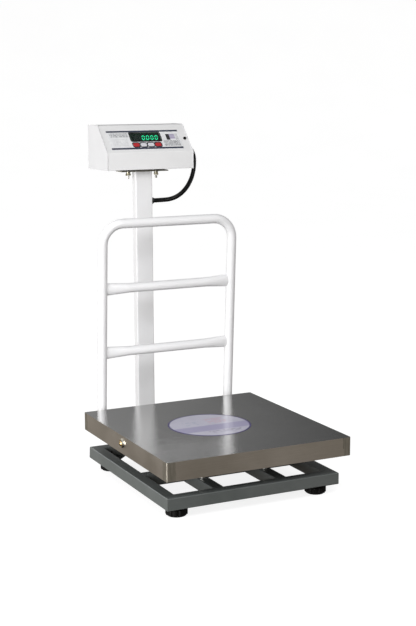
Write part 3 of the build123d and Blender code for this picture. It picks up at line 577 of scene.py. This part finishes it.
# %% Housing
soften("housing_shell", HOUSING_PAINT, 1.2, 3, shortest=200)
soften("end_panel_left", PANEL_PAINT, 0.35)
soften("end_panel_right", PANEL_PAINT, 0.35)
soften("end_panel_screws", PANEL_PAINT, 0.1, 1)
soften("mains_inlet", PLASTIC, 0.5)
soften("conduit_glands", PLASTIC, 0.5)
for side in ("left", "right"):
    soften("wing_nut_" + side, WING_STEEL, 0.6, 3)
    soften("wing_washer_" + side, ZINC, 0.2)
soften("strip_spacer_nuts", DARK_STEEL, 0.4)
soften("power_button", KNOB, 0.6, 3)
for number, colour in enumerate((KEY_RED, KEY_WHITE, KEY_WHITE, KEY_RED), start=1):
    soften(f"key_{number}", colour, 0.5, 3)
print("housing ready")

# %% [markdown]
# ## Coordinates on the slanted face
#
# The film, the window and the digits all lie on the slanted face. Two directions describe it: x
# along the housing and v up the slope. The face rises 72 mm over a run of 70 mm, and v starts at
# the film's lower edge, which is read from the film's own box.

# %% Slanted face
SLANT_RISE, SLANT_RUN = 72, 70      # millimetres
SLOPE = atan2(SLANT_RISE, SLANT_RUN)
FILM_THICK = 0.0005
film_low, film_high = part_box("fascia_overlay")
up_slope = Vector((0, cos(SLOPE), sin(SLOPE)))
out_of_slope = Vector((0, -sin(SLOPE), cos(SLOPE)))
film_height = (film_high.z - film_low.z - FILM_THICK * cos(SLOPE)) / sin(SLOPE)
film_foot = Vector((0, film_low.y + FILM_THICK * sin(SLOPE), film_low.z))


def on_film(x, v, out=0.0):
    """A point on the film; x from the housing's middle, v up from the film's foot."""
    return Vector((x, 0, 0)) + film_foot + up_slope * v + out_of_slope * out


def slope_matrix(x, v, out=0.0):
    """Moves and turns a flat shape from the origin to that point, lying on the slope."""
    axes = Matrix((Vector((1, 0, 0)), up_slope, out_of_slope)).transposed().to_4x4()
    return Matrix.Translation(on_film(x, v, out)) @ axes


print("film height", round(film_height, 4))

# %% [markdown]
# ## The printed film
#
# The film is silver-grey polyester with a dark blue band along its top and bottom. The printing is
# made of masks: each is 1 inside a rectangle on the slope and 0 outside it. Lines of print are
# rows of dashes of uneven length, which read as small print without spelling anything. A printed
# area is described by its rectangle (low x, high x, low v, high v), the height of a row, the
# length of a dash, a seed that shifts the pattern, and the strength of the ink, all in metres.

# %% Places on the film
def film_place(node):
    """A node's middle on the slope, as (x, v)."""
    low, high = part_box(node)
    middle = (low + high) / 2
    return middle.x, (middle - film_foot).dot(up_slope)


KEY_LINE = 0.0015           # metres, the printed outline beside each key
KEY_LINE_CORNER = 0.0058
WINDOW_LINE_HALF = (0.0475, 0.0182)
WINDOW_LINE_CORNER = 0.006
LOWER_BAND = (0.0012, 0.0074)
UPPER_BAND = (film_height - 0.0070, film_height - 0.0010)
PRINTED = (
    ((-0.104, -0.050, 0.044, 0.060), 0.0052, 0.0032, 3.0, 0.75),
    ((-0.102, -0.056, 0.012, 0.040), 0.0052, 0.0050, 8.0, 0.16),
    ((0.050, 0.099, 0.010, 0.032), 0.0040, 0.0026, 11.0, 0.95),
    ((0.090, 0.099, 0.032, 0.056), 0.0040, 0.0022, 17.0, 0.6),
)
key_middles = [film_place(f"key_{number}") for number in (1, 2, 3, 4)]
key_low, key_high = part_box("key_1")
key_frame = ((key_high.x - key_low.x) / 2 + KEY_LINE,
             (key_high - key_low).dot(up_slope) / 2 + KEY_LINE * 0.6)
window_middle = film_place("display_window")
print("window middle", [round(value, 4) for value in window_middle])


# %% Film
def film_axes(f):
    """The x and v of each point, as wires."""
    x, y, z = f.axes()
    v = (y - film_foot.y) * cos(SLOPE) + (z - film_foot.z) * sin(SLOPE)
    return x, v


def dashes(f, x, v, row, width, seed):
    """Rows of uneven dashes, row high and about width long."""
    line = (v / row).whole()
    ink = ((v / row).fraction() < 0.45)
    place = f.pack(x / width, line * 7.3 + seed)
    gap = f.node("ShaderNodeTexNoise", {"Vector": place, "Scale": 1.0, "Detail": 0.0})
    return ink * (gap > 0.47)


def inside_round_box(x, v, middle, half, corner):
    """1 inside a box with round corners on the slope; middle and half are (x, v)."""
    over_x = (abs(x - middle[0]) - (half[0] - corner)).at_least(0.0)
    over_v = (abs(v - middle[1]) - (half[1] - corner)).at_least(0.0)
    return (over_x * over_x + over_v * over_v).root() < corner


def printed_film():
    f = Finish("overlay_film", Roughness=0.34, Coat_Weight=0.3, Coat_Roughness=0.2)
    x, v = film_axes(f)
    silver = f.mix(f.noise(scale=60, detail=3).rise(0.3, 0.7), (0.62, 0.63, 0.65),
                   (0.76, 0.77, 0.78))
    colour = f.mix(v.between(*LOWER_BAND) + v.between(*UPPER_BAND), silver, (0.016, 0.022, 0.048))
    for (low_x, high_x, low_v, high_v), row, width, seed, ink in PRINTED:
        area = x.between(low_x, high_x) * v.between(low_v, high_v)
        marks = dashes(f, x, v, row, width, seed) * 0.78 + 0.22
        colour = f.mix(area * marks * ink, colour, (0.05, 0.05, 0.06))
    dark_block = x.between(0.0625, 0.0730) * v.between(0.033, 0.054)
    colour = f.mix(dark_block, colour, (0.008, 0.008, 0.010))
    lilac_block = x.between(0.0730, 0.0890) * v.between(0.036, 0.054)
    stripes = (v / 0.006).fraction() < 0.5
    colour = f.mix(lilac_block, colour, f.mix(stripes, (0.30, 0.27, 0.38), (0.46, 0.43, 0.55)))
    for key_middle in key_middles:
        frame_line = inside_round_box(x, v, key_middle, key_frame, KEY_LINE_CORNER)
        colour = f.mix(frame_line, colour, (0.010, 0.012, 0.020))
    window_line = inside_round_box(x, v, window_middle, WINDOW_LINE_HALF, WINDOW_LINE_CORNER)
    colour = f.mix(window_line, colour, (0.014, 0.016, 0.020))
    f.set("Base Color", colour)
    return f.material


FILM = printed_film()
soften("fascia_overlay", FILM, 0.15, 1)
print("film ready")

# %% [markdown]
# ## Window and digits
#
# Behind a smoked window sit six seven-segment digits. The window is thin dark plastic that lets
# some light through, and the lit segments glow by themselves.

# %% Window
def smoked_window():
    f = Finish("window_dark", Roughness=0.12, Alpha=0.30)
    f.set("Base Color", f.mix(f.noise(scale=40).rise(0.4, 0.6), (0.004, 0.006, 0.006),
                              (0.010, 0.012, 0.012)))
    return f.material


def glowing(name, colour, strength, base):
    f = Finish(name, Roughness=0.4, Emission_Strength=strength)
    f.set("Base Color", base)
    glow = f.noise(scale=900, detail=1).rise(0.2, 0.8)
    f.set("Emission Color", f.mix(glow, tuple(c * 0.75 for c in colour), colour))
    return f.material


WINDOW = smoked_window()
LIT = glowing("digit_lit", (0.01, 1.0, 0.42), 3.0, (0.02, 0.25, 0.12))
UNLIT = moulded("digit_unlit", (0.010, 0.045, 0.030), 0.4)
DIGIT_FACE = moulded("digit_plastic", (0.004, 0.030, 0.018), 0.35)
soften("display_window", WINDOW, 0.3, 2)
give_material("display_digits", DIGIT_FACE)
print("window ready")

# %% [markdown]
# A segment is a flat six-sided bar, made lying and then turned, moved and sheared, because the
# digits lean a little. Each is listed as (side, level, upright): side is -1 on the left and 1 on
# the right, level runs from -1 at the foot to 1 at the top. The reading is a plain zero with three
# decimals. The two left digits and the middle bars are off and show only as a faint ghost.

# %% Seven-segment digits
digit_low, digit_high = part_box("display_digits")
DIGIT_COUNT = 6
DIGIT_OUT = -0.0033         # metres from the film's face; negative is behind the window
DIGIT_WIDTH = 0.0126
DIGIT_PITCH = (digit_high.x - digit_low.x - DIGIT_WIDTH) / (DIGIT_COUNT - 1)
READING_LEFT = 0.002
LEAN = 0.14
BAR = 0.0058
BAR_WIDTH = 0.0010
BAR_THICK = 0.0002
HALF_ACROSS, HALF_UP = 0.0033, 0.0072
POINT_AT, POINT_RADIUS = (0.0056, -0.0078), 0.0009
POINT_AFTER = 2             # the digit that the decimal point follows
OFF_DIGITS = 2
MIDDLE_BAR = (0, 0, 0)
RING = ((0, 1, 0), (0, -1, 0), (-1, 0.5, 1), (1, 0.5, 1), (-1, -0.5, 1), (1, -0.5, 1))


def segment(bm, middle, upright):
    """A six-sided bar on the digit's face; middle is (x, v) from the digit's own middle."""
    stretch = Matrix.Diagonal((BAR * 0.5 / BAR_WIDTH, 1.0, 1.0, 1.0))
    turned = Matrix.Rotation(pi / 2 if upright else 0.0, 4, "Z")
    shift = Matrix.Translation((middle[0], middle[1], 0))
    shear = Matrix(((1, LEAN, 0, 0), (0, 1, 0, 0), (0, 0, 1, 0), (0, 0, 0, 1)))
    made = bmesh.ops.create_cone(bm, cap_ends=True, segments=6, radius1=BAR_WIDTH, radius2=BAR_WIDTH,
                                 depth=BAR_THICK, matrix=shear @ shift @ turned @ stretch)
    return made["verts"]


def digits(name, which, segments, material):
    """One piece with these segments of each digit in which; digit 0 is the left one."""
    bm = bmesh.new()
    middle_x = (digit_low.x + digit_high.x) / 2 - READING_LEFT
    v = window_middle[1]
    for index in which:
        x = middle_x + (index - (DIGIT_COUNT - 1) / 2) * DIGIT_PITCH
        made = []
        for side, level, upright in segments:
            made += segment(bm, (side * HALF_ACROSS, level * HALF_UP), upright)
        if index == POINT_AFTER and material == LIT:
            dot = Matrix.Translation((*POINT_AT, 0))
            made += bmesh.ops.create_cone(bm, cap_ends=True, segments=12, radius1=POINT_RADIUS,
                                          radius2=POINT_RADIUS, depth=BAR_THICK, matrix=dot)["verts"]
        bmesh.ops.transform(bm, matrix=slope_matrix(x, v, DIGIT_OUT), verts=made)
    return as_piece(name, bm, material, "base")


digits("digits_lit", range(OFF_DIGITS, DIGIT_COUNT), RING, LIT)
digits("digits_off", range(OFF_DIGITS), (*RING, MIDDLE_BAR), UNLIT)
digits("digit_middles_off", range(OFF_DIGITS, DIGIT_COUNT), [MIDDLE_BAR], UNLIT)
print("digits ready")

# %% [markdown]
# ## The round label
#
# A printed disc is stuck on the pan: a dark blue rim round a pale lilac field, with a wide lilac
# band across it. Distance from its middle gives the rim, and the dashes give a few lines of print.
# Each printed area has its rectangle (low x, high x, low y, high y, from the label's middle), the
# height of a row, the length of a dash, a seed, the strength of the ink and its colour.

# %% Label
LABEL_RIM = 0.0045
LABEL_BAND = (-0.052, -0.004)
LABEL_PRINT = (
    ((-0.060, -0.014, 0.012, 0.048), 0.012, 0.010, 2.0, 0.6, (0.30, 0.36, 0.48)),
    ((0.006, 0.060, 0.012, 0.060), 0.012, 0.012, 9.0, 0.5, (0.60, 0.26, 0.33)),
    ((-0.030, 0.060, -0.078, -0.058), 0.009, 0.007, 5.0, 0.8, (0.10, 0.08, 0.16)),
    ((-0.024, 0.030, -0.078, -0.060), 0.009, 0.006, 5.0, 0.6, (0.30, 0.28, 0.42)),
)


def printed_label():
    f = Finish("label_film", Roughness=0.3, Coat_Weight=0.35, Coat_Roughness=0.15)
    low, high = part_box("pan_label")
    middle = (low + high) / 2
    radius = (high.x - low.x) / 2
    x, y, z = f.axes()
    x, y = x - middle.x, y - middle.y
    field = f.mix(f.noise(scale=30).rise(0.3, 0.7), (0.47, 0.46, 0.56), (0.52, 0.51, 0.61))
    colour = f.mix(y.between(*LABEL_BAND), field, (0.34, 0.32, 0.48))
    for (low_x, high_x, low_y, high_y), row, width, seed, ink, print_colour in LABEL_PRINT:
        area = x.between(low_x, high_x) * y.between(low_y, high_y)
        colour = f.mix(dashes(f, x, y, row, width, seed) * area * ink, colour, print_colour)
    on_rim = (x * x + y * y).root() > radius - LABEL_RIM
    f.set("Base Color", f.mix(on_rim, colour, (0.030, 0.018, 0.125)))
    return f.material


soften("pan_label", printed_label(), 0.1, 1)
print("label ready")

# %% [markdown]
# ## The ribbed conduit
#
# The wires run from the housing to the post in a corrugated conduit. Its centreline is a smooth
# spline through listed control points, the same route as the frame's own conduit: out of the
# right end panel, round and down, and into the post's side. The depth of each point is a share of
# the way from the exit to the entry.

# %% Conduit route
EXIT_BEHIND, ENTRY_BEHIND = 0.470, 0.4358       # metres behind the pan's middle
ROUTE = ((0.1365, 0.0, 0.838), (0.150, 0.0, 0.838), (0.163, 0.03, 0.834), (0.172, 0.06, 0.822),
         (0.1755, 0.12, 0.802), (0.171, 0.25, 0.771), (0.160, 0.40, 0.745), (0.1425, 0.56, 0.722),
         (0.119, 0.74, 0.7045), (0.091, 0.90, 0.6945), (0.061, 1.0, 0.693), (0.033, 1.0, 0.693))
STATION_STEP = 0.0008
exit_y = pan_middle.y + EXIT_BEHIND
entry_y = pan_middle.y + ENTRY_BEHIND
route_points = [Vector((x, exit_y + (entry_y - exit_y) * share, z)) for x, share, z in ROUTE]


def smooth_line(points, count=24):
    """Points along the smooth spline that these control points make."""
    curve = bpy.data.curves.new("route", "CURVE")
    curve.dimensions = "3D"
    spline = curve.splines.new("NURBS")
    spline.points.add(len(points) - 1)
    for point, place in zip(spline.points, points):
        point.co = (*place, 1.0)
    spline.order_u = 3
    spline.use_endpoint_u = True
    spline.resolution_u = count
    holder = bpy.data.objects.new("route", curve)
    bpy.context.scene.collection.objects.link(holder)
    mesh = bpy.data.meshes.new_from_object(holder)
    line = [v.co.copy() for v in mesh.vertices]
    bpy.data.objects.remove(holder)
    bpy.data.meshes.remove(mesh)
    return line


def even_steps(line, step):
    """The same line cut into equal steps of about that length, and the line's whole length."""
    lengths = [(b - a).length for a, b in zip(line, line[1:])]
    total = sum(lengths)
    count = round(total / step)
    found, index, walked = [], 0, 0.0
    for i in range(count + 1):
        target = total * i / count
        while index < len(lengths) - 1 and walked + lengths[index] < target:
            walked += lengths[index]
            index += 1
        share = (target - walked) / lengths[index]
        found.append(line[index].lerp(line[index + 1], share))
    return found, total


conduit_line, conduit_length = even_steps(smooth_line(route_points), STATION_STEP)
print("conduit length", round(conduit_length, 4), "stations", len(conduit_line))

# %% [markdown]
# Ribs are rings of two sizes along that line, two wide and then two narrow, each square to the line
# and bridged to the one before. A disc closes each end.

# %% Conduit mesh
RIB_RADII = (0.0064, 0.0064, 0.0053, 0.0053)
CONDUIT_SIDES = 20


def ring_across(bm, line, i, radius, sides):
    """A ring of vertices square to the line at its i-th point."""
    ahead = line[min(i + 1, len(line) - 1)] - line[max(i - 1, 0)]
    turn = ahead.to_track_quat("Z", "Y").to_matrix().to_4x4()
    matrix = Matrix.Translation(line[i]) @ turn
    return bmesh.ops.create_circle(bm, cap_ends=False, segments=sides, radius=radius,
                                   matrix=matrix)["verts"]


def ribbed_tube(name, line, radii, sides, material):
    bm = bmesh.new()
    before = None
    for i in range(len(line)):
        verts = set(ring_across(bm, line, i, radii[i % len(radii)], sides))
        edges = list({edge for vert in verts for edge in vert.link_edges
                      if edge.other_vert(vert) in verts})
        if before:
            bmesh.ops.bridge_loops(bm, edges=before + edges)
        else:
            bmesh.ops.holes_fill(bm, edges=edges)
        before = edges
    bmesh.ops.holes_fill(bm, edges=before)
    bmesh.ops.recalc_face_normals(bm, faces=bm.faces)
    return as_piece(name, bm, material, "base", ["signal_conduit"])


CONDUIT = moulded("conduit_black", (0.003, 0.003, 0.003), 0.30, shine=0.18)
conduit = ribbed_tube("ribbed_conduit", conduit_line, RIB_RADII, CONDUIT_SIDES, CONDUIT)
print("conduit faces", len(conduit.data.polygons))

# %% [markdown]
# ## Pieces inside and under the scale
#
# Nobody sees the load cell or the circuit boards at first, but the scale can be turned over and
# its parts taken out, so each gets its own finish. The boards are green with paler traces. The
# load cell is the part that bends when goods rest on the pan, and on the real scale the deck comes
# down by one millimetre; here the cell only gets a mesh of its own and is not bent.

# %% Inner finishes
def circuit_board():
    f = Finish("circuit_board", Roughness=0.35, Coat_Weight=0.4, Coat_Roughness=0.2)
    x, y, z = f.axes()
    traces = ((x / 0.0025).fraction() < 0.3) * (f.noise(scale=120, detail=1) > 0.5)
    f.set("Base Color", f.mix(traces, (0.010, 0.075, 0.030), (0.030, 0.16, 0.065)))
    return f.material


BOARD = circuit_board()
for node, material in {
    "front_board": BOARD, "main_board": BOARD, "board_standoffs": BRASS, "battery": BATTERY,
    "transformer": CORE_STEEL, "power_switch_body": PLASTIC, "load_cell_cable": CABLE,
}.items():
    give_material(node, material)

cell = soften("load_cell", CELL_METAL, 0.6)
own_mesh(cell)
soften("load_cell_lower_plate", ZINC, 0.5)
soften("load_cell_upper_plate", ZINC, 0.5)
soften("deck_pads", RUBBER, 0.4)
for node in ("load_cell_lower_bolts", "load_cell_upper_bolts", "overload_stops", "foot_nuts",
             "post_foot_bolts", "guard_bolts", "strip_studs"):
    soften(node, ZINC, 0.35)
print("inner pieces ready")

# %% [markdown]
# ## Floor
#
# The floor is a wide shallow bowl, spun from one curved profile, so that no horizon shows: it is
# flat for the first part of its profile and then bends up. It glows a little, which keeps shadows
# faint, and it is left out of what the object's surfaces see: the metal reflects the dim room.

# %% Floor
BOWL_RADIUS = 9.0
BOWL_RISE = 6.0
FLAT_SHARE = 0.6


def make_floor():
    bm = bmesh.new()
    profile = bmesh.ops.create_grid(bm, x_segments=24, y_segments=1, size=0.5)
    bmesh.ops.delete(bm, geom=[v for v in profile["verts"] if v.co.y > 0], context="VERTS")
    for vert in bm.verts:
        share = vert.co.x + 0.5
        flat = min(share / FLAT_SHARE, 1.0)
        bend = max(share - FLAT_SHARE, 0.0) / (1 - FLAT_SHARE) * pi / 2
        vert.co = (BOWL_RADIUS * flat + BOWL_RISE * sin(bend), 0, BOWL_RISE * (1 - cos(bend)))
    bmesh.ops.spin(bm, geom=bm.edges[:] + bm.verts[:], axis=(0, 0, 1), cent=(0, 0, 0), angle=2 * pi,
                   steps=64, use_merge=True)
    bmesh.ops.remove_doubles(bm, verts=bm.verts, dist=1e-4)
    bmesh.ops.recalc_face_normals(bm, faces=bm.faces)
    mesh = bpy.data.meshes.new("floor")
    bm.to_mesh(mesh)
    bm.free()
    mesh.shade_smooth()
    floor = bpy.data.objects.new("floor", mesh)
    bpy.context.scene.collection.objects.link(floor)
    f = Finish("floor", Roughness=0.9, Emission_Strength=0.86)
    f.set("Base Color", f.mix(f.noise(scale=2).rise(0.3, 0.7), (0.24, 0.24, 0.24),
                              (0.26, 0.26, 0.26)))
    f.set("Emission Color", (1.0, 1.0, 1.0))
    mesh.materials.append(f.material)
    floor.visible_diffuse = False
    floor.visible_glossy = False
    return floor


print("floor faces", len(make_floor().data.polygons))

# %% [markdown]
# ## Lamps
#
# A large soft lamp low on the left makes the left faces brightest. A smaller one in front and
# above lights the indicator, and a weak one behind gives the white tubes a second edge.

# %% Lamps
def soft_lamp(name, place, target, size, power):
    """A rectangular lamp at a place, aimed at a target; size in metres and power in watts."""
    light = bpy.data.lights.new(name, "AREA")
    light.shape = "RECTANGLE"
    light.size, light.size_y = size
    light.energy = power
    lamp = bpy.data.objects.new(name, light)
    aim = (Vector(target) - Vector(place)).to_track_quat("-Z", "Y").to_matrix().to_4x4()
    lamp.matrix_world = Matrix.Translation(place) @ aim
    lamp.visible_camera = False
    bpy.context.scene.collection.objects.link(lamp)


soft_lamp("left", (-2.3, -0.8, 0.55), (0, 0, 0.25), (1.4, 1.4), 72)
soft_lamp("front", (-0.1, -1.5, 1.5), (0, 0.25, 0.85), (0.8, 0.6), 15)
soft_lamp("behind", (-1.7, 2.6, 0.9), (0, 0, 0.2), (1.0, 1.0), 10)

# %% [markdown]
# ## The room
#
# The room is only what the surfaces reflect: a colour for each direction. Seen downwards it is
# dark, near the horizon warm and dim, and paler above. Behind the scale and to the right it is
# darker still, which gives the pan its gradient from left to right.

# %% Room
ROOM_COLOURS = [(0.0, (0.02, 0.02, 0.02, 1)), (0.30, (0.06, 0.055, 0.05, 1)),
                (0.40, (0.40, 0.37, 0.33, 1)), (0.50, (0.40, 0.385, 0.37, 1)),
                (0.58, (0.39, 0.39, 0.39, 1)), (0.66, (0.56, 0.56, 0.56, 1)),
                (1.0, (0.56, 0.56, 0.56, 1))]
DARK_SIDE = 0.12            # the share of the room's light left on its dark side
world = bpy.data.worlds.new("room")
world.use_nodes = True
bpy.context.scene.world = world
room = NodeTree(world.node_tree)
sideways, depthways, upwards = room.axes(room.node("ShaderNodeTexCoord", output=0))
shade = room.node("ShaderNodeValToRGB", [upwards * 0.5 + 0.5], stops=ROOM_COLOURS)
far_right = sideways.rise(0.22, 0.56) * depthways.rise(-0.2, 0.4)
dimmed = room.node("ShaderNodeVectorMath", {0: shade, "Scale": 1.0 - far_right * (1 - DARK_SIDE)},
                   operation="SCALE")
room.join(world.node_tree.nodes["Background"].inputs[0], dimmed)
bpy.context.scene.view_settings.view_transform = "Standard"
print("room colours", len(ROOM_COLOURS))
